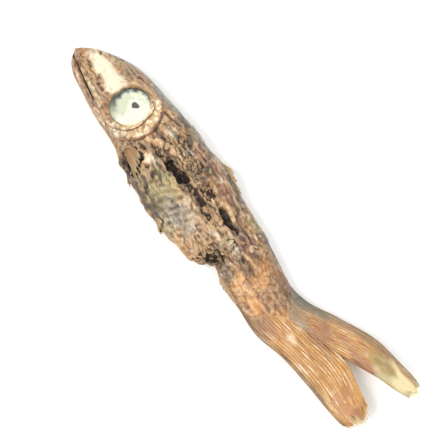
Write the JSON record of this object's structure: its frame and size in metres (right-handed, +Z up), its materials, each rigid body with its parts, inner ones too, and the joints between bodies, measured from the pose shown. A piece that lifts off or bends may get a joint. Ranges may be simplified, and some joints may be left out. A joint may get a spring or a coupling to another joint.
{
  "type": "dried anchovy",
  "caption": "Small whole fish dried hard and brown, with clouded eyes, a torn flank and a forked tail, lying flat on its right side.",
  "frame": {"origin": "on the surface the fish lies on, below the middle of its bounding box", "axes": "+X from the snout to the tail, +Y from the belly to the back, +Z up, out of the left flank"},
  "size_m": [0.068, 0.0148, 0.006],
  "materials": {
    "dried_skin": "dried brown fish skin and flesh with worn silver, satin to oily",
    "eye": "clouded pale eye, glossy",
    "head_plates": "thin cream and grey bony plates, satin",
    "fins": "translucent amber fin rays, dry"
  },
  "bodies": {
    "root": {"anchovy": "dried_skin"}
  },
  "joints": []
}
